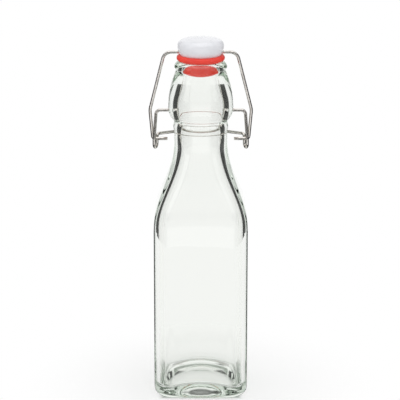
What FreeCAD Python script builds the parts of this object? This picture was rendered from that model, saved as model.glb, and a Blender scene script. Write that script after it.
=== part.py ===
import FreeCAD, Part
import math
import os
import Sketcher

# Swing top bottle: square glass, lever wire, bail wire, stopper and gasket, closed.
# Millimetres, +Z up, origin at the middle of the base. The lever crossbar is on the +Y side.

DIMENSIONS = [
    ("body_width", 53.0, "square body, face to face"),
    ("body_corner", 11.5, "corner radius of the square body"),
    ("body_height", 99.0, "base to the start of the shoulder"),
    ("heel_radius", 5.0, "rounding of the bottom edge"),
    ("wall", 2.75, "side wall of the body"),
    ("base_thickness", 4.4, "base to the rim of the inside floor, at the corners"),
    ("floor_radius", 3.0, "rounding between the inside floor and the walls"),
    ("floor_dome_radius", 30.5, "rim of the domed inside floor"),
    ("floor_dome_rise", 8.1, "rise of the inside floor from its rim to its middle"),
    ("push_up_radius", 18.5, "radius of the hollow under the base"),
    ("push_up_depth", 6.0, "depth of the hollow under the base"),
    ("shoulder_length", 47.0, "height of the shoulder"),
    ("hollow_shoulder", 43.5, "height of the shoulder inside"),
    ("neck_radius", 15.0, "outside of the round neck"),
    ("bore_radius", 11.0, "inside of the neck"),
    ("bore_swell", 1.8, "how far the bore swells behind the collar"),
    ("swell_foot", 4.0, "underside of the collar down to the foot of the swelling"),
    ("throat_radius", 10.6, "inside of the mouth"),
    ("throat_length", 11.8, "lip down to the swelling of the bore"),
    ("neck_length", 13.3, "end of the shoulder to the underside of the collar"),
    ("bead_length", 5.0, "height of the neck bead"),
    ("bead_rise", 0.5, "how far the neck bead stands out"),
    ("bead_drop", 2.0, "neck bead to the underside of the collar"),
    ("collar_radius", 18.3, "collar at its widest"),
    ("collar_step", 1.2, "width of the underside of the collar"),
    ("collar_foot", 6.2, "underside to the widest height of the collar"),
    ("collar_taper", 21.0, "widest height of the collar to the groove below the lip"),
    ("groove_radius", 14.0, "groove below the lip"),
    ("groove_height", 2.0, "groove to the widest height of the lip"),
    ("lip_radius", 14.8, "lip at its widest"),
    ("lip_height", 3.3, "widest height of the lip to its top"),
    ("lip_land", 2.6, "edge of the lip to its flat top"),
    ("mouth_radius", 1.5, "rounding of the mouth edge"),
    ("wire_diameter", 1.8, "lever and bail wire"),
    ("pivot_clearance", 0.08, "radial play of a wire in its hole"),
    ("pivot_depth", 3.0, "depth of the dimples in the collar"),
    ("pivot_end_play", 0.3, "lever tip to the bottom of its dimple"),
    ("pivot_drop", 1.7, "widest height of the collar down to the lever pivot"),
    ("lever_standoff", 6.7, "collar to the lever side wire"),
    ("lever_flare", 1.2, "how far the lever side leans out towards its eye"),
    ("lever_bend", 2.6, "bend radius at the top of the lever"),
    ("crank", 16.5, "lever pivot to the bail pin"),
    ("eye_clearance", 0.2, "bail pin to each side of the lever eye"),
    ("eye_depth", 4.9, "bail pin to the middle of the wire at the eye bottom"),
    ("eye_offset", 1.5, "sideways shift between the two strands of the eye"),
    ("eye_rise", 2.4, "bail pin up to the crossbar bend"),
    ("crossbar_bend", 2.0, "bend radius from the eye into the crossbar"),
    ("crossbar_gap", 1.6, "neck to the crossbar behind it"),
    ("crossbar_half", 11.5, "half of the straight crossbar"),
    ("crossbar_sweep", 7.0, "bend radius beside the straight crossbar"),
    ("crossbar_drop", 2.0, "how far the crossbar falls towards the back"),
    ("bail_standoff", 0.8, "lever eye to the bail side wire"),
    ("bail_knee", 1.5, "how far the bail leans out up to its knee"),
    ("bail_knee_rise", 16.7, "bail pin up to the knee"),
    ("bail_knee_bend", 9.0, "bend radius of the knee"),
    ("bail_pin_bend", 1.6, "bend radius at the bail pin"),
    ("bail_pin", 8.3, "length of the bail pin inside the bail side wire"),
    ("bail_shoulder", 7.25, "cap to the top corner of the bail"),
    ("bail_top_bend", 5.0, "bend radius of the top corner"),
    ("seal_gap", 0.2, "lip to the gasket at rest"),
    ("flange_radius", 13.5, "gasket flange"),
    ("flange_height", 3.4, "thickness of the gasket flange"),
    ("plug_clearance", 0.6, "gasket plug to the mouth"),
    ("plug_depth", 9.4, "length of the plug below the flange"),
    ("plug_taper", 4.6, "how much narrower the plug is at its end"),
    ("plug_round", 4.2, "rounding of the plug end"),
    ("stud_radius", 4.0, "stopper stud inside the gasket"),
    ("stud_bead", 0.7, "how far the retaining bead stands out"),
    ("stud_bead_height", 2.4, "height of the retaining bead"),
    ("stud_clearance", 0.05, "stud to gasket"),
    ("cap_radius", 12.95, "stopper cap at its widest"),
    ("cap_foot_radius", 11.4, "stopper cap where it meets the gasket"),
    ("cap_height", 9.6, "gasket to the crown of the cap"),
    ("cap_edge", 3.4, "radius of the rounded cap edge"),
    ("bail_hole_rise", 1.5, "gasket to the middle of the bail hole"),
]

# The shoulder is a half cosine wave, with its rings closest at the two ends.
SHOULDER_STATIONS = (0.0, 0.07, 0.2, 0.35, 0.5, 0.65, 0.8, 0.93, 1.0)
SIDE_ANGLE = math.radians(10.0)
# Slope of the cap's crown where the rounded edge takes over.
CROWN_ANGLE = math.radians(10.5)
# Places nearer than this count as the same.
TOUCH = 1e-4

doc = FreeCAD.newDocument("swing_top_bottle")
sheet = doc.addObject("Spreadsheet::Sheet", "sizes")
for row, (alias, amount, note) in enumerate(DIMENSIONS, start=1):
    sheet.set("A%d" % row, note)
    sheet.set("B%d" % row, str(amount))
    sheet.setAlias("B%d" % row, alias)
doc.recompute()


class Size:
    """A length with its present value and the formula that ties it to the sheet."""

    def __init__(self, formula, value):
        self.formula = formula
        self.value = value

    @staticmethod
    def of(other):
        if isinstance(other, Size):
            return other
        return Size(repr(float(other)), float(other))

    def __add__(self, other):
        other = Size.of(other)
        return Size("(%s + %s)" % (self.formula, other.formula), self.value + other.value)

    def __sub__(self, other):
        other = Size.of(other)
        return Size("(%s - %s)" % (self.formula, other.formula), self.value - other.value)

    def __mul__(self, other):
        other = Size.of(other)
        return Size("(%s * %s)" % (self.formula, other.formula), self.value * other.value)

    def __truediv__(self, other):
        other = Size.of(other)
        return Size("(%s / %s)" % (self.formula, other.formula), self.value / other.value)

    def __neg__(self):
        return Size("(0 - %s)" % self.formula, -self.value)

    def root(self):
        return Size("sqrt(%s)" % self.formula, math.sqrt(self.value))


size = {alias: Size("sizes." + alias, float(sheet.get(alias))) for alias, amount, note in DIMENSIONS}
nothing = Size("0", 0.0)

# Heights of the glass, from the base up.
floor_middle = size["base_thickness"] + size["floor_dome_rise"]
shoulder_start = size["body_height"]
shoulder_end = shoulder_start + size["shoulder_length"]
hollow_end = shoulder_start + size["hollow_shoulder"]
collar_base = shoulder_end + size["neck_length"]
collar_waist = collar_base + size["collar_foot"]
groove_level = collar_waist + size["collar_taper"]
lip_waist = groove_level + size["groove_height"]
lip_top = lip_waist + size["lip_height"]

# Places of the closure: pivot in the collar, bail pin below it, bail hole in the cap.
wire_radius = size["wire_diameter"] / 2
gasket_base = lip_top + size["seal_gap"]
gasket_top = gasket_base + size["flange_height"]
plug_base = gasket_base - size["plug_depth"]
cap_top = gasket_top + size["cap_height"]
pivot_height = collar_waist - size["pivot_drop"]
pin_height = pivot_height - size["crank"]
hole_height = gasket_top + size["bail_hole_rise"]
hole_radius = wire_radius + size["pivot_clearance"]
dimple_floor = size["collar_radius"] - size["pivot_depth"]
lever_side = size["collar_radius"] + size["lever_standoff"]
eye_outer = lever_side + size["lever_flare"]
eye_inner = eye_outer - size["eye_offset"]
eye_half = size["wire_diameter"] + size["eye_clearance"]
bail_side = eye_outer + size["bail_standoff"]
bail_widest = bail_side + size["bail_knee"]
bail_corner = size["cap_radius"] + size["bail_shoulder"]


def plane_of(body, role):
    return [feature for feature in body.Origin.OriginFeatures if feature.Role == role][0]


def new_body(label):
    body = doc.addObject("PartDesign::Body", label + "_body")
    body.Label = label
    return body


def new_sketch(body, name, role, offset=nothing):
    sketch = body.newObject("Sketcher::SketchObject", name)
    sketch.AttachmentSupport = [(plane_of(body, role), "")]
    sketch.MapMode = "FlatFace"
    if offset is not nothing:
        sketch.setExpression("AttachmentOffset.Base.z", offset.formula)
        doc.recompute()
    return sketch


def pin_down(sketch, geometry, end, x, y):
    """Ties one end of a line or arc to its place in the sketch."""
    for kind, length, axis in (("DistanceX", x, -2), ("DistanceY", y, -1)):
        if abs(length.value) < 1e-9:
            sketch.addConstraint(Sketcher.Constraint("PointOnObject", geometry, end, axis))
        else:
            index = sketch.addConstraint(Sketcher.Constraint(kind, -1, 1, geometry, end, length.value))
            sketch.setExpression("Constraints[%d]" % index, length.formula)


def flat_vector(x, y):
    return FreeCAD.Vector(x.value, y.value, 0)


def arc_between(start, end, radius, turn):
    """The shorter arc from start to end. It turns left for turn 1 and right for turn -1."""
    chord = end - start
    left = FreeCAD.Vector(-chord.y, chord.x, 0).normalize()
    rise = math.sqrt(max(radius ** 2 - (chord.Length / 2) ** 2, 0.0))
    centre = (start + end) * 0.5 + left * (rise * turn)
    first, last = (start, end) if turn > 0 else (end, start)
    angle_first = math.atan2(first.y - centre.y, first.x - centre.x)
    angle_last = math.atan2(last.y - centre.y, last.x - centre.x)
    if angle_last < angle_first:
        angle_last += 2 * math.pi
    circle = Part.Circle(centre, FreeCAD.Vector(0, 0, 1), radius)
    return Part.ArcOfCircle(circle, angle_first, angle_last)


def draw_outline(sketch, corners):
    """Closed outline. Each corner is (x, y, bend): bend None runs straight on to the next corner,
    and a pair (radius, turn) runs there on an arc."""
    ends = []
    count = len(corners)
    for index, (x, y, bend) in enumerate(corners):
        next_x, next_y, next_bend = corners[(index + 1) % count]
        start = flat_vector(x, y)
        end = flat_vector(next_x, next_y)
        if bend is None:
            geometry = sketch.addGeometry(Part.LineSegment(start, end), False)
            ends.append((geometry, 1, 2))
        else:
            radius, turn = bend
            geometry = sketch.addGeometry(arc_between(start, end, radius.value, turn), False)
            ends.append((geometry, 1, 2) if turn > 0 else (geometry, 2, 1))
    for index, (geometry, first, last) in enumerate(ends):
        next_geometry, next_first, next_last = ends[(index + 1) % count]
        sketch.addConstraint(Sketcher.Constraint("Coincident", geometry, last, next_geometry, next_first))
    for (geometry, first, last), (x, y, bend) in zip(ends, corners):
        pin_down(sketch, geometry, first, x, y)
        if bend is not None:
            index = sketch.addConstraint(Sketcher.Constraint("Radius", geometry, bend[0].value))
            sketch.setExpression("Constraints[%d]" % index, bend[0].formula)


def draw_circle(sketch, x, y, radius):
    circle = Part.Circle(flat_vector(x, y), FreeCAD.Vector(0, 0, 1), radius.value)
    geometry = sketch.addGeometry(circle, False)
    pin_down(sketch, geometry, 3, x, y)
    index = sketch.addConstraint(Sketcher.Constraint("Radius", geometry, radius.value))
    sketch.setExpression("Constraints[%d]" % index, radius.formula)


def swell(half_chord, rise):
    """Radius of the arc that rises by rise over a chord of twice half_chord."""
    return (half_chord * half_chord + rise * rise) / (rise * 2)


def swell_to(rise, length):
    """Radius of the arc that starts along the axis and moves sideways by rise over length."""
    return (length * length + rise * rise) / (rise * 2)


def ease(start, end, turn):
    """Two corners of an S bend that leaves start and reaches end along the axis. Its first half
    turns left for turn 1 and right for turn -1."""
    middle_x = (start[0] + end[0]) / 2
    middle_y = (start[1] + end[1]) / 2
    sideways = (end[0] - start[0]) / 2 * -turn
    bend = swell_to(sideways, (end[1] - start[1]) / 2)
    return [(start[0], start[1], (bend, turn)), (middle_x, middle_y, (bend, -turn))]


def spin(body, kind, name, corners):
    """Full turn of an outline round the bottle axis, added or cut."""
    sketch = new_sketch(body, name + "_outline", "XZ_Plane")
    draw_outline(sketch, corners)
    feature = body.newObject("PartDesign::" + kind, name)
    feature.Profile = sketch
    feature.ReferenceAxis = (sketch, ["V_Axis"])
    feature.Angle = 360
    doc.recompute()
    return feature


def draw_section(sketch, half_width, half_side, side_angle):
    """Square ring with rounded corners. The sides swell with side_angle until the ring is a circle."""
    sag = half_side * math.tan(side_angle / 2)
    spread = math.cos(side_angle) - math.sin(side_angle)
    corner_radius = (half_width - sag - half_side) / spread
    edge = half_width - sag
    side_bend = None
    if side_angle > 0:
        side_bend = (half_side / math.sin(side_angle), 1)
    corner_bend = (corner_radius, 1)
    draw_outline(sketch, [
        (edge, -half_side, side_bend), (edge, half_side, corner_bend),
        (half_side, edge, side_bend), (-half_side, edge, corner_bend),
        (-edge, half_side, side_bend), (-edge, -half_side, corner_bend),
        (-half_side, -edge, side_bend), (half_side, -edge, corner_bend),
    ])


def shoulder_loft(body, kind, name, half_width, corner, radius, length):
    """Square body to round neck along a half cosine wave, added or cut."""
    half_side = half_width - corner
    round_side = radius * math.sin(SIDE_ANGLE)
    sketches = []
    for number, station in enumerate(SHOULDER_STATIONS):
        square_share = (1 + math.cos(math.pi * station)) / 2
        height = shoulder_start + length * station
        sketch = new_sketch(body, "%s_ring_%d" % (name, number), "XY_Plane", height)
        draw_section(sketch, radius + (half_width - radius) * square_share,
                     round_side + (half_side - round_side) * square_share,
                     SIDE_ANGLE * (1 - square_share))
        sketches.append(sketch)
    loft = body.newObject("PartDesign::" + kind, name)
    loft.Profile = sketches[0]
    loft.Sections = sketches[1:]
    doc.recompute()
    return loft


def floor_edges(feature, lowest, half_width):
    """Names of the edges where the domed floor meets the inside walls, from lowest up to its middle."""
    names = []
    for number, edge in enumerate(feature.Shape.Edges, start=1):
        box = edge.BoundBox
        low = box.ZMin > lowest.value - TOUCH and box.ZMax < floor_middle.value + TOUCH
        near = max(box.XMax, box.YMax, -box.XMin, -box.YMin) < half_width.value + TOUCH
        if low and near:
            names.append("Edge%d" % number)
    return names


def edges_at(feature, height):
    """Names of the edges of a feature that lie flat at one height."""
    names = []
    for number, edge in enumerate(feature.Shape.Edges, start=1):
        box = edge.BoundBox
        if abs(box.ZMin - height.value) < TOUCH and abs(box.ZMax - height.value) < TOUCH:
            names.append("Edge%d" % number)
    return names


def round_edges(body, name, base, edges, radius):
    fillet = body.newObject("PartDesign::Fillet", name)
    fillet.Base = (base, edges)
    fillet.setExpression("Radius", radius.formula)
    doc.recompute()
    return fillet


def glass_bottle():
    body = new_body("glass_bottle")
    outer = size["body_width"] / 2
    inner = outer - size["wall"]
    inner_corner = size["body_corner"] - size["wall"]

    block_sketch = new_sketch(body, "block_outline", "XY_Plane")
    draw_section(block_sketch, outer, outer - size["body_corner"], 0.0)
    block = body.newObject("PartDesign::Pad", "block")
    block.Profile = block_sketch
    block.setExpression("Length", shoulder_start.formula)
    doc.recompute()

    # Hollow body on a domed floor. The dome runs on into the middle of the wall at the corners, where
    # it is lowest, and is then trimmed to the square outline.
    dome = swell(size["floor_dome_radius"], size["floor_dome_rise"])
    reach = (inner - inner_corner) * math.sqrt(2) + inner_corner + size["wall"] / 2
    lowest = floor_middle - dome + (dome * dome - reach * reach).root()
    hollow_sketch = new_sketch(body, "hollow_outline", "XY_Plane", shoulder_start)
    draw_section(hollow_sketch, inner, inner - inner_corner, 0.0)
    hollow = body.newObject("PartDesign::Pocket", "hollow")
    hollow.Profile = hollow_sketch
    hollow.setExpression("Length", (shoulder_start - lowest).formula)
    doc.recompute()
    spin(body, "Revolution", "floor_dome", [
        (nothing, lowest / 2, None), (reach, lowest / 2, None),
        (reach, lowest, (dome, 1)), (nothing, floor_middle, None),
    ])
    trim_sketch = new_sketch(body, "trim_outline", "XY_Plane")
    draw_section(trim_sketch, outer, outer - size["body_corner"], 0.0)
    draw_circle(trim_sketch, nothing, nothing, size["body_width"] + reach)
    trim = body.newObject("PartDesign::Pocket", "trim")
    trim.Profile = trim_sketch
    trim.Reversed = True
    trim.setExpression("Length", floor_middle.formula)
    doc.recompute()
    soft_floor = round_edges(body, "hollow_floor", trim, floor_edges(trim, lowest, inner),
                             size["floor_radius"])
    round_edges(body, "heel", soft_floor, edges_at(soft_floor, nothing), size["heel_radius"])
    shoulder_loft(body, "AdditiveLoft", "shoulder", outer, size["body_corner"], size["neck_radius"],
                  size["shoulder_length"])

    # Neck with its bead, swelling collar, groove and rounded lip.
    neck = size["neck_radius"]
    bead_top = collar_base - size["bead_drop"]
    bead_base = bead_top - size["bead_length"]
    bead_bend = (swell(size["bead_length"] / 2, size["bead_rise"]), 1)
    step = neck + size["collar_step"]
    foot_bend = (swell_to(size["collar_radius"] - step, size["collar_foot"]), 1)
    taper_bend = (swell_to(size["collar_radius"] - size["groove_radius"], size["collar_taper"]), 1)
    groove_bend = (swell_to(size["lip_radius"] - size["groove_radius"], size["groove_height"]), -1)
    land = size["lip_radius"] - size["lip_land"]
    lip_bend = (swell_to(size["lip_land"], size["lip_height"]), 1)
    spin(body, "Revolution", "neck", [
        (nothing, shoulder_end, None), (neck, shoulder_end, None),
        (neck, bead_base, bead_bend), (neck, bead_top, None),
        (neck, collar_base, None), (step, collar_base, foot_bend),
        (size["collar_radius"], collar_waist, taper_bend),
        (size["groove_radius"], groove_level, groove_bend),
        (size["lip_radius"], lip_waist, lip_bend), (land, lip_top, None),
        (nothing, lip_top, None),
    ])

    # Hollow of the shoulder, then the bore, which swells behind the collar and ends in a rounded mouth.
    bore = size["bore_radius"]
    shoulder_loft(body, "SubtractiveLoft", "shoulder_hollow", inner, inner_corner, bore,
                  size["hollow_shoulder"])
    throat = size["throat_radius"]
    swell_base = collar_base - size["swell_foot"]
    widest = (bore + size["bore_swell"], collar_waist)
    throat_base = (throat, lip_top - size["throat_length"])
    bore_outline = [(nothing, hollow_end, None), (bore, hollow_end, None)]
    bore_outline += ease((bore, swell_base), widest, -1)
    bore_outline += ease(widest, throat_base, 1)
    bore_outline += [
        (throat, throat_base[1], None),
        (throat, lip_top - size["mouth_radius"], (size["mouth_radius"], -1)),
        (throat + size["mouth_radius"], lip_top, None), (nothing, lip_top, None),
    ]
    spin(body, "Groove", "bore", bore_outline)

    # Hollow under the base, which leaves a flat ring to stand on.
    push_up = swell(size["push_up_radius"], size["push_up_depth"])
    spin(body, "Groove", "push_up", [
        (nothing, nothing, None), (size["push_up_radius"], nothing, (push_up, 1)),
        (nothing, size["push_up_depth"], None),
    ])

    # Two dimples in the collar that hold the ends of the lever.
    dimple_sketch = new_sketch(body, "dimple_outline", "YZ_Plane", dimple_floor)
    draw_circle(dimple_sketch, nothing, pivot_height, hole_radius)
    dimple = body.newObject("PartDesign::Pocket", "dimple")
    dimple.Profile = dimple_sketch
    dimple.Reversed = True
    dimple.setExpression("Length", (size["pivot_depth"] + size["wire_diameter"]).formula)
    doc.recompute()
    pair = body.newObject("PartDesign::Mirrored", "dimple_pair")
    pair.Originals = [dimple]
    pair.MirrorPlane = (plane_of(body, "YZ_Plane"), [""])
    body.Tip = pair
    return body


def stopper_cap():
    body = new_body("stopper_cap")
    edge_radius = size["cap_radius"] - size["cap_edge"] * (1 - math.sin(CROWN_ANGLE))
    edge_top = cap_top - edge_radius * math.tan(CROWN_ANGLE / 2)
    waist = edge_top - size["cap_edge"] * math.cos(CROWN_ANGLE)
    side_bend = (swell_to(size["cap_radius"] - size["cap_foot_radius"], waist - gasket_top), 1)
    edge_bend = (size["cap_edge"], 1)
    crown_bend = (edge_radius / math.sin(CROWN_ANGLE), 1)
    stud = size["stud_radius"]
    bead_top = plug_base + size["stud_bead_height"]
    spin(body, "Revolution", "cap", [
        (nothing, plug_base, None), (stud + size["stud_bead"], plug_base, None),
        (stud, bead_top, None), (stud, gasket_top, None),
        (size["cap_foot_radius"], gasket_top, side_bend), (size["cap_radius"], waist, edge_bend),
        (edge_radius, edge_top, crown_bend), (nothing, cap_top, None),
    ])
    hole_sketch = new_sketch(body, "bail_hole_outline", "YZ_Plane")
    draw_circle(hole_sketch, nothing, hole_height, hole_radius)
    hole = body.newObject("PartDesign::Pocket", "bail_hole")
    hole.Profile = hole_sketch
    hole.Midplane = True
    hole.setExpression("Length", (size["cap_radius"] * 2 + size["wire_diameter"]).formula)
    doc.recompute()
    return body


def sealing_gasket():
    body = new_body("sealing_gasket")
    rim = size["flange_height"] / 2
    rim_inner = size["flange_radius"] - rim
    plug = size["throat_radius"] - size["plug_clearance"]
    plug_end = plug - size["plug_taper"]
    hole = size["stud_radius"] + size["stud_clearance"]
    hole_end = hole + size["stud_bead"]
    bead_top = plug_base + size["stud_bead_height"]
    spin(body, "Revolution", "washer", [
        (hole, gasket_top, None), (hole, bead_top, None), (hole_end, plug_base, None),
        (plug_end, plug_base, (size["plug_round"], 1)),
        (plug_end + size["plug_round"], plug_base + size["plug_round"], None), (plug, gasket_base, None),
        (rim_inner, gasket_base, (rim, 1)), (size["flange_radius"], gasket_base + rim, (rim, 1)),
        (rim_inner, gasket_top, None),
    ])
    return body


def bent_path(points, bends):
    """Straight runs between the points, joined by tangent arcs of the given radii."""
    edges = []
    start = points[0]
    for before, corner, after, radius in zip(points, points[1:], points[2:], bends):
        towards = (before - corner).normalize()
        onwards = (after - corner).normalize()
        half_angle = towards.getAngle(onwards) / 2
        tangent = radius / math.tan(half_angle)
        middle = (towards + onwards).normalize()
        arc_start = corner + towards * tangent
        arc_end = corner + onwards * tangent
        arc_middle = corner + middle * (radius / math.sin(half_angle) - radius)
        if start.distanceToPoint(arc_start) > 1e-6:
            edges.append(Part.LineSegment(start, arc_start).toShape())
        edges.append(Part.Arc(arc_start, arc_middle, arc_end).toShape())
        start = arc_end
    edges.append(Part.LineSegment(start, points[-1]).toShape())
    return Part.Wire(edges)


def mirrored(points):
    """The points followed by their mirror images across the YZ plane."""
    return points + [FreeCAD.Vector(-point.x, point.y, point.z) for point in reversed(points)]


def place(x, y, z):
    return FreeCAD.Vector(x.value, y.value, z.value)


def wire_along(label, half_points, half_bends):
    """Round wire swept along a path that is the same on both sides."""
    path = doc.addObject("Part::Feature", label + "_path")
    path.Shape = bent_path(mirrored(half_points), half_bends + list(reversed(half_bends)))
    section = doc.addObject("Part::Circle", label + "_section")
    section.setExpression("Radius", wire_radius.formula)
    section.Placement = FreeCAD.Placement(half_points[0], FreeCAD.Rotation(FreeCAD.Vector(0, 1, 0), 90))
    sweep = doc.addObject("Part::Sweep", label + "_sweep")
    sweep.Sections = [section]
    sweep.Spine = (path, ["Edge%d" % (number + 1) for number in range(len(path.Shape.Edges))])
    sweep.Solid = True
    sweep.Frenet = False
    sweep.Label = label
    doc.recompute()
    print("%s: wire %.1f mm long" % (label, path.Shape.Length))
    return sweep


def lever_wire():
    eye_base = pin_height - size["eye_depth"]
    crossbar_depth = size["neck_radius"] + size["crossbar_gap"] + wire_radius
    crossbar_top = pin_height + size["eye_rise"]
    points = [
        place(dimple_floor + size["pivot_end_play"], nothing, pivot_height),
        place(lever_side, nothing, pivot_height),
        place(eye_outer, -eye_half, pin_height),
        place(eye_outer, -eye_half, eye_base),
        place(eye_inner, eye_half, eye_base),
        place(eye_inner, eye_half, crossbar_top),
        place(size["crossbar_half"], crossbar_depth, crossbar_top - size["crossbar_drop"]),
    ]
    eye_turn = points[3].distanceToPoint(points[4]) / 2
    bends = [size["lever_bend"].value, size["lever_bend"].value, eye_turn, eye_turn,
             size["crossbar_bend"].value, size["crossbar_sweep"].value]
    return wire_along("lever_wire", points, bends)


def bail_wire():
    points = [
        place(bail_side - size["bail_pin"], nothing, pin_height),
        place(bail_side, nothing, pin_height),
        place(bail_widest, nothing, pin_height + size["bail_knee_rise"]),
        place(bail_corner, nothing, hole_height),
    ]
    bends = [size["bail_pin_bend"].value, size["bail_knee_bend"].value, size["bail_top_bend"].value]
    return wire_along("bail_wire", points, bends)


pieces = [glass_bottle(), lever_wire(), bail_wire(), stopper_cap(), sealing_gasket()]
doc.recompute()
for item in doc.Objects:
    if "Invalid" in item.State or "Error" in item.State:
        raise RuntimeError("%s did not build" % item.Label)
for piece in pieces:
    if piece.Shape.isNull() or not piece.Shape.isValid():
        raise RuntimeError("%s is not a sound solid" % piece.Label)

os.makedirs("parts", exist_ok=True)
for piece in pieces:
    piece.Shape.exportStep("parts/%s.step" % piece.Label)
    print("%s: %d solid, %.0f cubic mm" % (piece.Label, len(piece.Shape.Solids), piece.Shape.Volume))
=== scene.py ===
import bpy
import bmesh
import math
from mathutils import Matrix, Vector


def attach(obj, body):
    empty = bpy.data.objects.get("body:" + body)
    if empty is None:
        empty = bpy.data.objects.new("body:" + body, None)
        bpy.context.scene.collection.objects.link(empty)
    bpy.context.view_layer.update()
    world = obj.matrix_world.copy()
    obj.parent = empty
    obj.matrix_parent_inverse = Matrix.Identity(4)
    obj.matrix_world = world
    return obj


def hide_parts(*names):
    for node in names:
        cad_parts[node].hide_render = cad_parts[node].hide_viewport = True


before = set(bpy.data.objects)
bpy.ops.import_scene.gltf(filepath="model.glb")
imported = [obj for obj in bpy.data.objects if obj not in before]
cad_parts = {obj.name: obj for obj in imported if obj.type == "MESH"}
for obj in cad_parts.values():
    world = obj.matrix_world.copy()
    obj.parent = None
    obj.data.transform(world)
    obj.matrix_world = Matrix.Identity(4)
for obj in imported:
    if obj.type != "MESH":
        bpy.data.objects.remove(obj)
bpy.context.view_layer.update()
print("frame: %d nodes" % len(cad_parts))

mm = 0.001  # sizes are written in millimetres


class Shade:
    # wraps one socket of a node tree, so that shader maths reads as plain sums
    def __init__(self, tree, socket=None):
        self.tree = tree
        self.socket = socket

    def node(self, kind, settings=None, values=None, out=0):
        made = self.tree.nodes.new(kind)
        for name, value in (settings or {}).items():
            setattr(made, name, value)
        for name, value in (values or {}).items():
            if isinstance(value, Shade):
                self.tree.links.new(value.socket, made.inputs[name])
            else:
                made.inputs[name].default_value = value
        return Shade(self.tree, made.outputs[out] if len(made.outputs) else None)

    def maths(self, operation, first, second):
        return self.node("ShaderNodeMath", {"operation": operation}, {0: first, 1: second})

    def __add__(self, other):
        return self.maths("ADD", self, other)

    def __radd__(self, other):
        return self.maths("ADD", other, self)

    def __sub__(self, other):
        return self.maths("SUBTRACT", self, other)

    def __rsub__(self, other):
        return self.maths("SUBTRACT", other, self)

    def __mul__(self, other):
        return self.maths("MULTIPLY", self, other)

    def __rmul__(self, other):
        return self.maths("MULTIPLY", other, self)

    def step(self, low, high):  # smooth step from 0 at low to 1 at high
        return self.node("ShaderNodeMapRange", {"interpolation_type": "SMOOTHSTEP"},
                         {"Value": self, "From Min": low, "From Max": high})

    def blend(self, first, second):  # colour mix, this socket is the share of the second
        return self.node("ShaderNodeMix", {"data_type": "RGBA"}, {0: self, 6: first, 7: second}, 2)


def newFinish(name):
    material = bpy.data.materials.new(name)
    material.use_nodes = True
    material.node_tree.nodes.clear()
    return material, Shade(material.node_tree)


def noise(finish, place, scale, detail):
    return finish.node("ShaderNodeTexNoise", {}, {"Vector": place, "Scale": scale, "Detail": detail})


def bumpOf(finish, height, strength, distance):
    return finish.node("ShaderNodeBump", {}, {"Height": height, "Strength": strength, "Distance": distance})


def closeFinish(finish, surface, volume=None):
    ends = {"Surface": surface}
    if volume is not None:
        ends["Volume"] = volume
    finish.node("ShaderNodeOutputMaterial", {}, ends)


def addPiece(name, bm, material, body, node):
    mesh = bpy.data.meshes.new(name)
    bm.to_mesh(mesh)
    bm.free()
    mesh.materials.append(material)
    piece = bpy.data.objects.new(name, mesh)
    bpy.context.scene.collection.objects.link(piece)
    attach(piece, body)
    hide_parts(node)
    print("%s: %d faces" % (name, len(mesh.polygons)))
    return piece


def dress(node, material):
    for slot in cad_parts[node].material_slots:
        slot.material = material


# clear glass
glassLook = {
    "tint": (0.974, 0.980, 0.966, 1.0), "roughness": 0.0, "ior": 1.5,
    "absorb": (0.945, 0.98, 0.945, 1.0), "density": 26.0,
    "wave": 0.012, "waveScale": 60.0, "waveDetail": 1.0, "waveDepth": 0.002,
    "baseWave": 7.0, "baseScale": 110.0, "baseDetail": 2.0, "baseEdge": (0.007, 0.013),
    "shadow": (0.93, 0.95, 0.93, 1.0),
}


def clearGlass():
    look = glassLook
    material, finish = newFinish("clearGlass")
    place = finish.node("ShaderNodeTexCoord", out="Object")
    # the pressed base is more uneven than the blown walls
    above = finish.node("ShaderNodeSeparateXYZ", {}, {0: place}, "Z").step(*look["baseEdge"])
    uneven = noise(finish, place, look["baseScale"], look["baseDetail"])
    pressed = uneven * (1 - above) * look["baseWave"]
    height = noise(finish, place, look["waveScale"], look["waveDetail"]) + pressed
    wave = bumpOf(finish, height, look["wave"], look["waveDepth"])
    glass = finish.node("ShaderNodeBsdfPrincipled", {}, {
        "Base Color": look["tint"], "Roughness": look["roughness"], "IOR": look["ior"],
        "Transmission Weight": 1.0, "Normal": wave})
    shadow = finish.node("ShaderNodeLightPath", out="Is Shadow Ray")
    clear = finish.node("ShaderNodeBsdfTransparent", {}, {"Color": look["shadow"]})
    surface = finish.node("ShaderNodeMixShader", {}, {0: shadow, 1: glass, 2: clear})
    volume = finish.node("ShaderNodeVolumeAbsorption", {}, {
        "Color": look["absorb"], "Density": look["density"]})
    closeFinish(finish, surface, volume)
    return material


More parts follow.
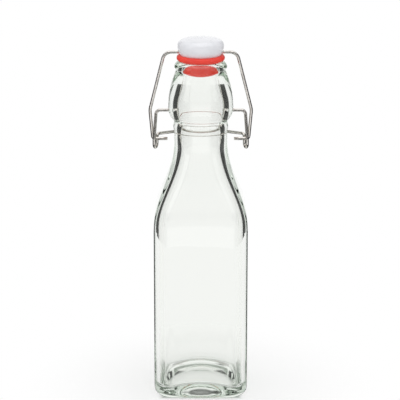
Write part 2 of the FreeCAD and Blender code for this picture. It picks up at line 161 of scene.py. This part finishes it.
# the glass: one spun outline, base centre to lip and down the inside, then squared up below the neck
glassSizes = {
    "bodyHalf": 26.5, "bodyCorner": 11.5, "bodyHeight": 99.0, "wall": 2.75,
    "heel": 5.0, "standRadius": 18.5, "pushUp": 6.0,
    "domeRim": 30.5, "domeLow": 4.4, "domeRise": 8.1, "floorSoft": 4.4,
    "shoulder": 47.0, "hollowShoulder": 43.5, "neck": 15.0, "bore": 11.0, "neckLength": 13.3,
    "beadLength": 5.0, "beadRise": 0.5, "beadDrop": 2.0,
    "collar": 18.3, "collarStep": 1.2, "collarSoft": 0.3, "collarFoot": 6.2, "collarTaper": 21.0,
    "boreSwell": 1.8, "swellFoot": 4.0, "throat": 10.6, "throatLength": 11.8,
    "groove": 14.0, "grooveHeight": 2.0, "lip": 14.8, "lipHeight": 3.3, "lipLand": 2.6, "mouthRound": 1.5,
    "dimpleFloor": 15.3, "dimpleEnd": 22.0, "dimpleRadius": 0.98, "dimpleHeight": 163.8, "dimpleSides": 32,
    "roundAngle": 10.0, "sharpAngle": 35.0, "axis": 0.02, "turns": 192,
    "merge": 0.00004,  # in metres
    # rows of the mesh: counts along bends, heights on walls, places beside bends, shares of the floor
    "pushUpRows": 16, "heelRows": 12, "shoulderRows": 28, "beadRows": 10, "stepRows": 6, "footRows": 12,
    "taperRows": 24, "grooveRows": 8, "lipRows": 10, "mouthRows": 8, "swellRows": 12, "softRows": 12,
    "wallHeights": (20.0, 40.0, 60.0, 80.0, 92.0, 97.0), "heelHeights": (6.0, 9.0),
    "aboveShoulder": 2.0, "belowBead": 1.0, "aboveBead": 0.5, "belowMouth": 3.0,
    "floorShares": (0.85, 0.7, 0.55, 0.4, 0.25, 0.12),
}


# a row holds half the width, half the length of a side, the side's swell and the height,
# or in place of the height its lift over the domed floor
def roundRow(radius, height):
    angle = math.radians(glassSizes["roundAngle"])
    return (radius, radius * math.sin(angle), angle, height, None)


def squareRow(half, side, height):
    return (half, side, 0.0, height, None)


def floorRow(half, side, lift):
    return (half, side, 0.0, None, lift)


def shoulderRow(share, half, side, radius, height):
    # a row between the round neck at share 0 and the square body at share 1
    angle = math.radians(glassSizes["roundAngle"])
    roundSide = radius * math.sin(angle)
    across = radius + (half - radius) * share
    along = roundSide + (side - roundSide) * share
    return (across, along, angle * (1 - share), height, None)


def shoulderRows(half, side, radius, length, steps):
    # half a cosine wave from the body up to the neck
    count = glassSizes["shoulderRows"]
    rows = []
    for step in steps:
        share = (1 + math.cos(math.pi * step / count)) / 2
        height = glassSizes["bodyHeight"] + length * step / count
        rows.append(shoulderRow(share, half, side, radius, height))
    return rows


def arcRows(start, end, radius, turn, count, maker=roundRow):
    # rows on the arc from start to end, turning left for 1 and right for -1
    a, b = Vector(start), Vector(end)
    chord = b - a
    left = Vector((-chord.y, chord.x)).normalized()
    centre = (a + b) / 2 + left * turn * math.sqrt(max(radius ** 2 - (chord.length / 2) ** 2, 0.0))
    sweep = turn * 2 * math.asin(min(1.0, chord.length / 2 / radius))
    rows = []
    for step in range(1, count + 1):
        spoke = Matrix.Rotation(sweep * step / count, 2) @ (a - centre)
        rows.append(maker(centre.x + spoke.x, centre.y + spoke.y))
    return rows


def swellTo(rise, length):  # radius of the arc that rises so far over this length
    return (length ** 2 + rise ** 2) / (2 * rise)


def easeRows(start, end, turn, count):
    # S bend that leaves start and reaches end along the axis
    middle = ((start[0] + end[0]) / 2, (start[1] + end[1]) / 2)
    bend = swellTo(abs(end[0] - start[0]) / 2, abs(end[1] - start[1]) / 2)
    return arcRows(start, middle, bend, turn, count) + arcRows(middle, end, bend, -turn, count)


def outerRows(g, side, heights):
    # hollow under the base, heel, walls and shoulder
    foot = g["bodyHalf"] - g["heel"]
    hollow = swellTo(g["pushUp"], g["standRadius"])
    rows = [roundRow(g["axis"], g["pushUp"])]
    rows += arcRows((g["axis"], g["pushUp"]), (g["standRadius"], 0.0), hollow, -1, g["pushUpRows"])
    rows.append(squareRow(foot, side, 0.0))
    rows += arcRows((foot, 0.0), (g["bodyHalf"], g["heel"]), g["heel"], 1, g["heelRows"],
                    lambda half, height: squareRow(half, side, height))
    rows += [squareRow(g["bodyHalf"], side, height) for height in g["heelHeights"] + g["wallHeights"]]
    rows += shoulderRows(g["bodyHalf"], side, g["neck"], g["shoulder"], range(g["shoulderRows"] + 1))
    # neck with its bead
    beadTop = heights["base"] - g["beadDrop"]
    beadBase = beadTop - g["beadLength"]
    under = heights["base"] - g["collarSoft"]
    bead = swellTo(g["beadRise"], g["beadLength"] / 2)
    plain = (heights["top"] + g["aboveShoulder"], beadBase - g["belowBead"], beadBase)
    rows += [roundRow(g["neck"], height) for height in plain]
    rows += arcRows((g["neck"], beadBase), (g["neck"], beadTop), bead, 1, g["beadRows"])
    rows += [roundRow(g["neck"], beadTop + g["aboveBead"]), roundRow(g["neck"], under)]
    # collar, groove and lip: a place, the rise and length of the arc to it, its turn and its rows
    ledge = g["neck"] + g["collarStep"]
    bends = [
        ((ledge, heights["base"]), g["collarStep"], g["collarSoft"], -1, g["stepRows"]),
        ((g["collar"], heights["waist"]), g["collar"] - ledge, g["collarFoot"], 1, g["footRows"]),
        ((g["groove"], heights["groove"]), g["collar"] - g["groove"], g["collarTaper"], 1, g["taperRows"]),
        ((g["lip"], heights["lip"]), g["lip"] - g["groove"], g["grooveHeight"], -1, g["grooveRows"]),
        ((g["lip"] - g["lipLand"], heights["mouth"]), g["lipLand"], g["lipHeight"], 1, g["lipRows"]),
    ]
    place = (g["neck"], under)
    for end, rise, length, turn, count in bends:
        rows += arcRows(place, end, swellTo(rise, length), turn, count)
        place = end
    return rows


def innerRows(g, side, heights):
    inner = g["bodyHalf"] - g["wall"]
    throatTop = heights["mouth"] - g["mouthRound"]
    throatBase = heights["mouth"] - g["throatLength"]
    swellBase = heights["base"] - g["swellFoot"]
    widest = (g["bore"] + g["boreSwell"], heights["waist"])
    land = (g["throat"] + g["mouthRound"], heights["mouth"])
    # mouth, throat, swollen bore and shoulder
    rows = [roundRow(*land)]
    rows += arcRows(land, (g["throat"], throatTop), g["mouthRound"], 1, g["mouthRows"])
    rows += [roundRow(g["throat"], throatTop - g["belowMouth"]), roundRow(g["throat"], throatBase)]
    rows += easeRows((g["throat"], throatBase), widest, 1, g["swellRows"])
    rows += easeRows(widest, (g["bore"], swellBase), -1, g["swellRows"])
    rows.append(roundRow(g["bore"], heights["top"]))
    rows += shoulderRows(inner, side, g["bore"], g["hollowShoulder"], range(g["shoulderRows"], -1, -1))
    rows += [squareRow(inner, side, height) for height in reversed(g["wallHeights"])]
    # rounded corner into the domed floor
    soft = g["floorSoft"]
    for step in range(g["softRows"] + 1):
        share = step / g["softRows"]
        rows.append(floorRow(inner - soft * share ** 2, side, soft * (1 - share) ** 2))
    rows += [floorRow((inner - soft) * share, side * share, 0.0) for share in g["floorShares"]]
    rows.append(floorRow(g["axis"], g["axis"] / 2, 0.0))
    return rows


def farCross(ray, centre, radius):  # far crossing of a ray from the axis with a circle
    along = ray.dot(centre)
    return along + math.sqrt(max(along ** 2 - centre.length_squared + radius ** 2, 0.0))


def domeHeight(radius):
    g = glassSizes
    bend = swellTo(g["domeRise"], g["domeRim"])
    return g["domeLow"] + g["domeRise"] - bend + math.sqrt(bend ** 2 - radius ** 2)


def ringPoint(row, turn):
    # the point of one row at a turn round the axis: swelling sides and round corners
    half, side, angle, height, lift = row
    quarter = round(turn / (math.pi / 2))
    local = turn - quarter * math.pi / 2
    edge = half - side * math.tan(angle / 2)
    ray = Vector((math.cos(local), math.sin(local)))
    if abs(local) > math.atan2(side, edge):
        corner = (edge - side) / (math.cos(angle) - math.sin(angle))
        middle = side - corner * math.sin(angle)
        far = farCross(ray, Vector((middle, math.copysign(middle, local))), corner)
    elif angle > 0:
        bend = side / math.sin(angle)
        far = farCross(ray, Vector((half - bend, 0.0)), bend)
    else:
        far = half / ray.x
    if height is None:
        height = domeHeight(far) + lift
    return Vector((far * math.cos(turn), far * math.sin(turn), height)) * mm


def cutDimples(bottle):
    # the two dimples in the collar that hold the lever tips
    g = glassSizes
    bm = bmesh.new()
    length = (g["dimpleEnd"] - g["dimpleFloor"]) * mm
    radius = g["dimpleRadius"] * mm
    for way in (-1, 1):
        place = Vector((way * (g["dimpleFloor"] * mm + length / 2), 0.0, g["dimpleHeight"] * mm))
        matrix = Matrix.Translation(place) @ Matrix.Rotation(math.pi / 2, 4, "Y")
        bmesh.ops.create_cone(bm, cap_ends=True, segments=g["dimpleSides"], radius1=radius, radius2=radius,
                              depth=length, matrix=matrix)
    for face in bm.faces:
        face.smooth = True
    mesh = bpy.data.meshes.new("dimpleCutter")
    bm.to_mesh(mesh)
    bm.free()
    cutter = bpy.data.objects.new("dimpleCutter", mesh)
    bpy.context.scene.collection.objects.link(cutter)
    cut = bottle.modifiers.new("dimples", "BOOLEAN")
    cut.object = cutter
    cut.operation = "DIFFERENCE"
    cut.solver = "EXACT"
    bpy.context.view_layer.update()
    done = bpy.data.meshes.new_from_object(bottle.evaluated_get(bpy.context.evaluated_depsgraph_get()))
    bottle.modifiers.clear()
    bottle.data = done
    done.name = "glassBottle"
    done.set_sharp_from_angle(angle=math.radians(g["sharpAngle"]))
    bpy.data.objects.remove(cutter)
    print("dimples: %d faces" % len(done.polygons))


def glassBottle():
    g = glassSizes
    side = g["bodyHalf"] - g["bodyCorner"]
    # heights from the top of the shoulder to the mouth, each over the one before
    heights = {"top": g["bodyHeight"] + g["shoulder"]}
    heights["base"] = heights["top"] + g["neckLength"]
    heights["waist"] = heights["base"] + g["collarFoot"]
    heights["groove"] = heights["waist"] + g["collarTaper"]
    heights["lip"] = heights["groove"] + g["grooveHeight"]
    heights["mouth"] = heights["lip"] + g["lipHeight"]
    rows = outerRows(g, side, heights) + innerRows(g, side, heights)
    # a strip with one point a row is spun, then each ring goes to its row's shape and height
    bm = bmesh.new()
    rowLayer = bm.verts.layers.int.new("row")
    previous = None
    for number, row in enumerate(rows):
        vertex = bm.verts.new((row[0] * mm, 0.0, number * mm))
        vertex[rowLayer] = number
        if previous:
            bm.edges.new((previous, vertex))
        previous = vertex
    bmesh.ops.spin(bm, geom=bm.verts[:] + bm.edges[:], cent=(0, 0, 0), axis=(0, 0, 1),
                   angle=math.tau, steps=g["turns"], use_merge=True)
    for vertex in bm.verts:
        vertex.co = ringPoint(rows[vertex[rowLayer]], math.atan2(vertex.co.y, vertex.co.x))
    bmesh.ops.remove_doubles(bm, verts=bm.verts[:], dist=g["merge"])
    bmesh.ops.recalc_face_normals(bm, faces=bm.faces[:])
    for face in bm.faces:
        face.smooth = True
    bm.verts.layers.int.remove(rowLayer)
    bottle = addPiece("glassBottle", bm, clearGlass(), "bottle", "glass_bottle")
    cutDimples(bottle)


# bright drawn wire
wireLook = {
    "pale": (0.84, 0.81, 0.775, 1.0), "deep": (0.52, 0.48, 0.45, 1.0), "shareEdge": (0.32, 0.6),
    "roughness": 0.10, "spread": 0.12, "around": 2.2, "along": 0.12,
    "streakScale": 3.0, "streakDetail": 4.0, "streakShare": 0.7,
    "grainScale": 900.0, "grainDetail": 3.0, "grainShare": 0.3,
    "bump": 0.05, "bumpDepth": 0.0002,
}


def drawnSteel():
    look = wireLook
    material, finish = newFinish("drawnSteel")
    space = finish.node("ShaderNodeAttribute", {"attribute_name": "wireSpace"}, out="Vector")
    stretch = finish.node("ShaderNodeVectorMath", {"operation": "MULTIPLY"}, {
        0: space, 1: (look["around"], look["around"], look["along"])})
    streak = noise(finish, stretch, look["streakScale"], look["streakDetail"])
    place = finish.node("ShaderNodeTexCoord", out="Object")
    grain = noise(finish, place, look["grainScale"], look["grainDetail"])
    share = (streak * look["streakShare"] + grain * look["grainShare"]).step(*look["shareEdge"])
    steel = finish.node("ShaderNodeBsdfPrincipled", {}, {
        "Base Color": share.blend(look["deep"], look["pale"]), "Metallic": 1.0,
        "Roughness": look["roughness"] + streak * look["spread"],
        "Normal": bumpOf(finish, streak, look["bump"], look["bumpDepth"])})
    closeFinish(finish, steel)
    return material


wireSizes = {"radius": 0.9, "sides": 24, "arcStep": 7.0, "arcLeast": 3, "runStep": 6.0, "runLeast": 1e-4,
             "endRound": 0.2}


def addRun(path, end):
    start = path[-1]
    length = (end - start).length
    if length <= wireSizes["runLeast"]:
        return
    count = math.ceil(length / wireSizes["runStep"])
    for step in range(1, count + 1):
        path.append(start + (end - start) * step / count)


def bentPath(halfPoints, halfBends):
    # points along straight runs and tangent bends, the second half mirrored across the axis
    corners = [Vector(point) for point in halfPoints]
    corners += [Vector((-point.x, point.y, point.z)) for point in reversed(corners)]
    bends = halfBends + halfBends[::-1]
    path = [corners[0]]
    for before, corner, after, radius in zip(corners, corners[1:], corners[2:], bends):
        towards = (before - corner).normalized()
        onwards = (after - corner).normalized()
        half = towards.angle(onwards) / 2
        centre = corner + (towards + onwards).normalized() * (radius / math.sin(half))
        spoke = corner + towards * (radius / math.tan(half)) - centre
        turn = math.pi - 2 * half
        count = max(wireSizes["arcLeast"], math.ceil(math.degrees(turn) / wireSizes["arcStep"]))
        axis = onwards.cross(towards).normalized()
        addRun(path, centre + spoke)
        for step in range(1, count + 1):
            path.append(centre + Matrix.Rotation(turn * step / count, 3, axis) @ spoke)
    addRun(path, corners[-1])
    return path


def wirePiece(name, path, material, body, node):
    # one ring of the wire, extruded and turned from point to point, smaller at both ends
    bm = bmesh.new()
    space = bm.verts.layers.float_vector.new("wireSpace")
    inset = wireSizes["endRound"]
    radius = wireSizes["radius"] * mm
    endRadius = radius - inset * mm
    first = (path[1] - path[0]).normalized()
    last = (path[-1] - path[-2]).normalized()
    points = [path[0], path[0] + first * inset] + path[1:-1] + [path[-1] - last * inset, path[-1]]
    points = [point * mm for point in points]
    end = len(points) - 1
    turnIn = Vector((0.0, 0.0, 1.0)).rotation_difference(first).to_matrix().to_4x4()
    start = bmesh.ops.create_circle(bm, cap_ends=True, segments=wireSizes["sides"], radius=endRadius)
    ring = start["verts"]
    for vertex in ring:
        around = vertex.co.normalized()
        vertex[space] = (around.x, around.y, 0.0)
    bmesh.ops.transform(bm, verts=ring, matrix=Matrix.Translation(points[0]) @ turnIn)
    edges = bm.edges[:]
    heading = first
    along = 0.0
    for number in range(1, len(points)):
        here, there = points[number - 1], points[number]
        made = bmesh.ops.extrude_edge_only(bm, edges=edges)["geom"]
        ring = [item for item in made if isinstance(item, bmesh.types.BMVert)]
        edges = [item for item in made if isinstance(item, bmesh.types.BMEdge)]
        ahead = (points[number + 1] - there).normalized() if number < end else heading
        facing = ((there - here).normalized() + ahead).normalized()
        turn = heading.rotation_difference(facing).to_matrix().to_4x4()
        size = 1.0
        if number == 1:
            size = radius / endRadius
        if number == end:
            size = endRadius / radius
        matrix = Matrix.Translation(there) @ turn @ Matrix.Scale(size, 4) @ Matrix.Translation(-here)
        bmesh.ops.transform(bm, verts=ring, matrix=matrix)
        along += (there - here).length / mm
        for vertex in ring:
            around = vertex[space]
            vertex[space] = (around.x, around.y, along)
        heading = facing
    bmesh.ops.edgeloop_fill(bm, edges=edges)
    bmesh.ops.recalc_face_normals(bm, faces=bm.faces[:])
    for face in bm.faces:
        face.smooth = len(face.verts) == 4  # the two ends stay flat
    addPiece(name, bm, material, body, node)


leverSizes = {
    "tip": 15.6, "pivot": 163.8, "side": 25.0, "pin": 147.3, "eyeOuter": 26.2, "eyeInner": 24.7,
    "eyeHalf": 2.0, "eyeBase": 142.4, "barTop": 149.7, "barHalf": 11.5, "barDepth": 17.5, "barLow": 147.7,
    "topBend": 2.6, "barBend": 2.0, "barSweep": 7.0,
}


def leverWire(material):
    s = leverSizes
    points = [
        (s["tip"], 0.0, s["pivot"]), (s["side"], 0.0, s["pivot"]),
        (s["eyeOuter"], -s["eyeHalf"], s["pin"]), (s["eyeOuter"], -s["eyeHalf"], s["eyeBase"]),
        (s["eyeInner"], s["eyeHalf"], s["eyeBase"]), (s["eyeInner"], s["eyeHalf"], s["barTop"]),
        (s["barHalf"], s["barDepth"], s["barLow"]),
    ]
    eyeBend = (Vector(points[3]) - Vector(points[4])).length / 2
    bends = [s["topBend"], s["topBend"], eyeBend, eyeBend, s["barBend"], s["barSweep"]]
    wirePiece("leverWire", bentPath(points, bends), material, "lever", "lever_wire")


bailSizes = {
    "pinEnd": 18.7, "side": 27.0, "pin": 147.3, "widest": 28.5, "knee": 164.0, "corner": 20.2,
    "hole": 196.9, "pinBend": 1.6, "kneeBend": 9.0, "cornerBend": 5.0,
}


def bailWire(material):
    s = bailSizes
    points = [(s["pinEnd"], 0.0, s["pin"]), (s["side"], 0.0, s["pin"]),
              (s["widest"], 0.0, s["knee"]), (s["corner"], 0.0, s["hole"])]
    bends = [s["pinBend"], s["kneeBend"], s["cornerBend"]]
    wirePiece("bailWire", bentPath(points, bends), material, "bail", "bail_wire")


# glossy white stopper
capLook = {
    "white": (0.845, 0.85, 0.885, 1.0), "shade": (0.80, 0.81, 0.845, 1.0), "shadeEdge": (0.35, 0.65),
    "roughness": 0.24, "spread": 0.08, "coat": 0.3, "coatRoughness": 0.08,
    "cloudScale": 120.0, "cloudDetail": 3.0,
    "peel": 0.004, "peelScale": 900.0, "peelDetail": 2.0, "peelDepth": 0.0004,
}


def glossyWhite():
    look = capLook
    material, finish = newFinish("glossyWhite")
    place = finish.node("ShaderNodeTexCoord", out="Object")
    cloud = noise(finish, place, look["cloudScale"], look["cloudDetail"])
    fine = noise(finish, place, look["peelScale"], look["peelDetail"])
    white = finish.node("ShaderNodeBsdfPrincipled", {}, {
        "Base Color": cloud.step(*look["shadeEdge"]).blend(look["shade"], look["white"]),
        "Roughness": look["roughness"] + cloud * look["spread"], "Coat Weight": look["coat"],
        "Coat Roughness": look["coatRoughness"],
        "Normal": bumpOf(finish, fine, look["peel"], look["peelDepth"])})
    closeFinish(finish, white)
    return material


# satin red gasket
gasketLook = {
    "red": (0.93, 0.062, 0.036, 1.0), "deep": (0.83, 0.046, 0.030, 1.0), "deepEdge": (0.3, 0.7),
    "roughness": 0.38, "spread": 0.12, "cloudScale": 150.0, "cloudDetail": 2.0,
    "grain": 0.05, "grainScale": 1600.0, "grainDetail": 3.0, "grainDepth": 0.0003,
}


def redRubber():
    look = gasketLook
    material, finish = newFinish("redRubber")
    place = finish.node("ShaderNodeTexCoord", out="Object")
    fine = noise(finish, place, look["grainScale"], look["grainDetail"])
    cloud = noise(finish, place, look["cloudScale"], look["cloudDetail"])
    rubber = finish.node("ShaderNodeBsdfPrincipled", {}, {
        "Base Color": cloud.step(*look["deepEdge"]).blend(look["deep"], look["red"]),
        "Roughness": look["roughness"] + fine * look["spread"],
        "Normal": bumpOf(finish, fine, look["grain"], look["grainDepth"])})
    closeFinish(finish, rubber)
    return material


glassBottle()
steel = drawnSteel()
leverWire(steel)
bailWire(steel)
dress("stopper_cap", glossyWhite())
dress("sealing_gasket", redRubber())
print("finishes: done")

# floor, light and camera, in metres
studio = {
    "floorRadius": 0.33, "floorSides": 96, "floorWhite": (0.96, 0.96, 0.96, 1.0),
    # the glow under the foot is painted light on the floor, standing in for light that falls through the
    # glass
    "floorGlow": 0.55, "glowEdge": (0.03, 0.11), "footPaintedLight": 0.70, "footEdge": (0.020, 0.027),
    # the heel ring's colour and edges are a painted shadow on the floor under the heel
    "heelShadowColour": (0.50, 0.53, 0.50, 1.0), "heelShadowInside": (0.0145, 0.019), "heelShadowOutside": (0.0205, 0.0245),
    "fill": (0.74, 0.74, 0.74, 1.0), "white": (1.0, 1.0, 1.0, 1.0), "dark": (0.035, 0.035, 0.034, 1.0),
    "backdropWay": (-0.035, 0.9994, 0.0), "backdropEdge": (0.885, 0.95), "backdropTop": (0.4, 0.65),
    "frontWay": (0.0, -1.0, 0.0), "frontEdge": (0.5, 0.68), "front": 0.7,
    "ceilingEdge": (0.55, 0.8), "ceiling": 0.3,
    "glintEdge": (0.72, 0.88), "glintHeight": (-0.12, 0.0), "glintTop": (0.45, 0.75), "glintFloor": 0.04,
    "often": (1.5, 2.5), "guided": (0.70, 0.73, 0.70, 1.0),
    # name, place, aim, width, height, power
    "lamps": (
        ("topSoftbox", (0.0, -0.15, 0.9), (0.0, 0.0, 0.1), 0.7, 0.7, 1.3),
        ("leftSoftbox", (-0.7, -0.5, 0.45), (0.0, 0.0, 0.12), 0.3, 0.6, 0.8),
        ("rightSoftbox", (0.7, -0.5, 0.45), (0.0, 0.0, 0.12), 0.3, 0.6, 0.5),
    ),
    "lens": 180.0, "sensor": 36.0, "cameraPlace": (-0.0004, -1.0953, 0.4145), "cameraDip": 15.472,
    "bounces": 32, "mirrorBounces": 24, "throughBounces": 24,
}


def anyOf(shader, depth):  # 1 for rays with at least one bounce of this kind
    return shader.maths("MINIMUM", shader.node("ShaderNodeLightPath", out=depth), 1.0)


def glintShare(shader):
    # 1 for rays mirrored by an outer surface, 0 for straight looks and for rays that went through glass
    return anyOf(shader, "Glossy Depth") * (1 - anyOf(shader, "Transmission Depth"))


def floorFinish():
    # pale paper that glows more with distance, with painted light under the foot, where light through the
    # glass would fall, and a painted shadow ring under the heel
    material, finish = newFinish("paleFloor")
    place = finish.node("ShaderNodeTexCoord", out="Object")
    spread = finish.node("ShaderNodeVectorMath", {"operation": "LENGTH"}, {0: place}, "Value")
    flat = finish.node("ShaderNodeVectorMath", {"operation": "ABSOLUTE"}, {0: place})
    sides = [finish.node("ShaderNodeSeparateXYZ", {}, {0: flat}, axis) for axis in ("X", "Y")]
    under = finish.maths("MAXIMUM", *sides)
    clear = under.step(*studio["footEdge"])
    # painted shadow: a ring of darker paper under the heel, with its glow taken out
    heel = under.step(*studio["heelShadowInside"]) * (1 - under.step(*studio["heelShadowOutside"]))
    outside = studio["floorGlow"] + spread.step(*studio["glowEdge"]) * (1 - studio["floorGlow"])
    # under the foot the glow is painted light, standing in for light through the glass
    glow = (clear * outside + (1 - clear) * studio["footPaintedLight"]) * (1 - heel)
    shade = heel.blend(studio["floorWhite"], studio["heelShadowColour"])
    paper = finish.node("ShaderNodeBsdfDiffuse", {}, {"Color": shade})
    white = finish.node("ShaderNodeEmission", {}, {"Color": studio["white"], "Strength": 1.0})
    lit = finish.node("ShaderNodeMixShader", {}, {0: glow, 1: paper, 2: white})
    # dim to the outer surfaces that mirror it, and clear from below
    dim = finish.node("ShaderNodeEmission", {}, {
        "Color": studio["white"], "Strength": studio["glintFloor"]})
    top = finish.node("ShaderNodeMixShader", {}, {0: glintShare(finish), 1: lit, 2: dim})
    below = finish.node("ShaderNodeNewGeometry", out="Backfacing")
    through = finish.node("ShaderNodeBsdfTransparent")
    closeFinish(finish, finish.node("ShaderNodeMixShader", {}, {0: below, 1: top, 2: through}))
    return material


def paleFloor():
    bm = bmesh.new()
    bmesh.ops.create_circle(bm, cap_ends=True, cap_tris=False, segments=studio["floorSides"],
                            radius=studio["floorRadius"])
    mesh = bpy.data.meshes.new("paleFloor")
    bm.to_mesh(mesh)
    bm.free()
    floor = bpy.data.objects.new("paleFloor", mesh)
    bpy.context.scene.collection.objects.link(floor)
    mesh.materials.append(floorFinish())


def nearness(sky, direction, way):  # cosine of the angle to a way
    return sky.node("ShaderNodeVectorMath", {"operation": "DOT_PRODUCT"}, {0: direction, 1: way}, "Value")


def studioWorld():
    # straight looks meet plain white, rays mirrored in the glass a backdrop, a softer front and dark sides,
    # rays mirrored by an outer surface a low front and a bright ceiling, and rays mirrored twice even grey
    world = bpy.data.worlds.new("studio")
    bpy.context.scene.world = world
    world.use_nodes = True
    world.node_tree.nodes.clear()
    sky = Shade(world.node_tree)
    direction = sky.node("ShaderNodeTexCoord", out="Generated")
    rise = sky.node("ShaderNodeSeparateXYZ", {}, {0: direction}, "Z")
    level = sky.node("ShaderNodeVectorMath", {"operation": "MULTIPLY"}, {0: direction, 1: (1.0, 1.0, 0.0)})
    flat = sky.node("ShaderNodeVectorMath", {"operation": "NORMALIZE"}, {0: level})
    behind = nearness(sky, flat, studio["backdropWay"])
    ahead = nearness(sky, flat, studio["frontWay"])
    backdrop = behind.step(*studio["backdropEdge"]) * (1 - rise.step(*studio["backdropTop"]))
    lit = sky.maths("MAXIMUM", backdrop, rise.step(*studio["ceilingEdge"]) * studio["ceiling"])
    lit = sky.maths("MAXIMUM", lit, ahead.step(*studio["frontEdge"]) * studio["front"])
    glint = ahead.step(*studio["glintEdge"]) * (1 - rise.step(*studio["glintHeight"]))
    glint = sky.maths("MAXIMUM", backdrop, glint)
    glint = sky.maths("MAXIMUM", glint, rise.step(*studio["glintTop"]))
    share = glintShare(sky)
    around = (share * glint + (1 - share) * lit).blend(studio["dark"], studio["white"])
    often = sky.node("ShaderNodeLightPath", out="Glossy Depth").step(*studio["often"])
    mirrored = often.blend(around, studio["guided"])
    seen = anyOf(sky, "Glossy Depth").blend(studio["white"], mirrored)
    diffuse = sky.node("ShaderNodeLightPath", out="Is Diffuse Ray")
    glow = sky.node("ShaderNodeBackground", {}, {
        "Color": diffuse.blend(seen, studio["fill"]), "Strength": 1.0})
    sky.node("ShaderNodeOutputWorld", {}, {"Surface": glow})


def addLamp(name, place, aim, width, height, power):
    lamp = bpy.data.lights.new(name, "AREA")
    lamp.shape = "RECTANGLE"
    lamp.size = width
    lamp.size_y = height
    lamp.energy = power
    holder = bpy.data.objects.new(name, lamp)
    holder.location = place
    holder.rotation_euler = (Vector(aim) - Vector(place)).to_track_quat("-Z", "Y").to_euler()
    holder.visible_camera = False
    holder.visible_transmission = False
    bpy.context.scene.collection.objects.link(holder)


def addCamera():
    camera = bpy.data.cameras.new("camera")
    camera.lens = studio["lens"]
    camera.sensor_width = studio["sensor"]
    holder = bpy.data.objects.new("camera", camera)
    holder.location = studio["cameraPlace"]
    holder.rotation_euler = (math.radians(90 - studio["cameraDip"]), 0.0, 0.0)
    bpy.context.scene.collection.objects.link(holder)
    bpy.context.scene.camera = holder


paleFloor()
studioWorld()
for lamp in studio["lamps"]:
    addLamp(*lamp)
addCamera()
bpy.context.scene.view_settings.view_transform = "Standard"
bpy.context.scene.cycles.max_bounces = studio["bounces"]
bpy.context.scene.cycles.glossy_bounces = studio["mirrorBounces"]
bpy.context.scene.cycles.transmission_bounces = studio["throughBounces"]
print("studio: done")
